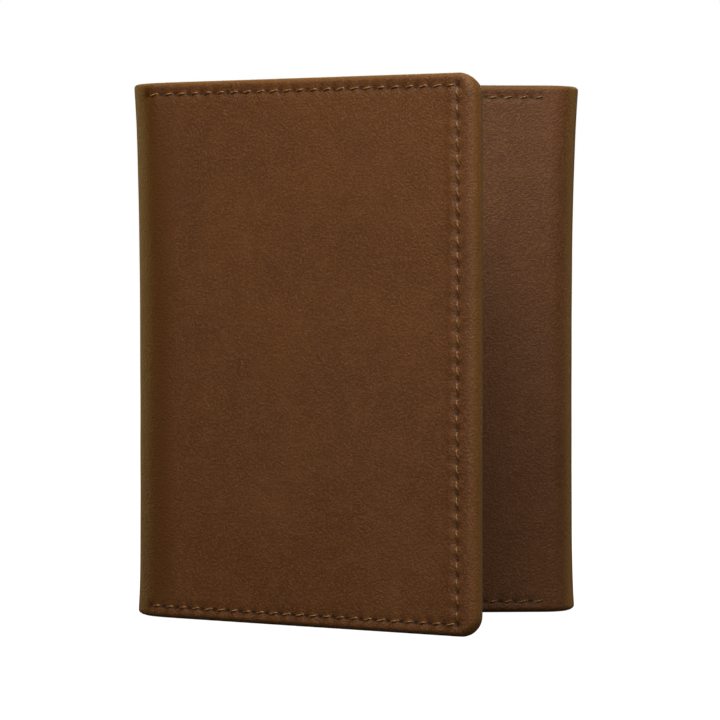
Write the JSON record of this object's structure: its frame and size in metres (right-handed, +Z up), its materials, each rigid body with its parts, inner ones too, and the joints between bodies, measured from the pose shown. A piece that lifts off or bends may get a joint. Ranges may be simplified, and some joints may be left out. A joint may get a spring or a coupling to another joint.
{
  "type": "trifold wallet",
  "caption": "Standing trifold leather wallet with two folding flaps, stitched turned edges, a full-length bill compartment, stepped card pockets and a clear window.",
  "frame": {"origin": "middle of the standing wallet's footprint, on the surface it stands on", "axes": "+X to the right along the centre panel, +Y out of the flat back, +Z up along the folds; the front flap opens towards -Y"},
  "size_m": [0.0886, 0.063, 0.108],
  "materials": {
    "outer_leather": "smooth semi-matte brown leather",
    "pocket_leather": "smooth semi-matte brown leather",
    "lining": "dark brown twill",
    "thread": "tan sewing thread",
    "window_film": "clear soft vinyl"
  },
  "bodies": {
    "centre_panel": {"centre_leather": "outer_leather", "centre_lining": "lining", "centre_bill_wall": "lining", "centre_card_pocket_1": "pocket_leather", "centre_card_pocket_2": "pocket_leather", "centre_card_pocket_3": "pocket_leather", "centre_top_seam": "thread", "centre_bottom_seam": "thread", "back_crease_leather": "outer_leather", "right_fold_leather": "outer_leather"},
    "left_spine": {"spine_leather": "outer_leather", "spine_lining": "lining", "spine_bill_wall": "lining", "front_crease_leather": "outer_leather"},
    "front_flap": {"front_flap_leather": "outer_leather", "front_flap_lining": "lining", "front_flap_bill_wall": "lining", "front_flap_card_pocket_1": "pocket_leather", "front_flap_card_pocket_2": "pocket_leather", "front_flap_card_pocket_3": "pocket_leather", "front_flap_top_seam": "thread", "front_flap_bottom_seam": "thread", "front_flap_side_seam": "thread"},
    "inner_flap": {"inner_flap_leather": "outer_leather", "inner_flap_lining": "lining", "inner_flap_bill_wall": "lining", "id_window_film": "window_film", "id_window_frame": "pocket_leather", "inner_flap_top_seam": "thread", "inner_flap_bottom_seam": "thread", "inner_flap_side_seam": "thread"}
  },
  "joints": [
    {"name": "back_crease", "type": "hinge", "parent": "centre_panel", "child": "left_spine", "pos_m": [-0.04306, 0.03019, 0.054], "axis": [0, 0, -1], "range_deg": [0, 90], "deforming": ["back_crease_leather"]},
    {"name": "front_crease", "type": "hinge", "parent": "left_spine", "child": "front_flap", "pos_m": [-0.04306, 0.01377, 0.054], "axis": [0, 0, -1], "range_deg": [-34, 56], "deforming": ["front_crease_leather"]},
    {"name": "right_fold", "type": "hinge", "parent": "centre_panel", "child": "inner_flap", "pos_m": [0.0473, 0.02598, 0.054], "axis": [0, 0, 1], "range_deg": [-2.5, 177.5], "deforming": ["right_fold_leather"]}
  ],
  "couplings": [
    {"joint": "right_fold", "follows": "back_crease", "ratio": 1.97}
  ]
}
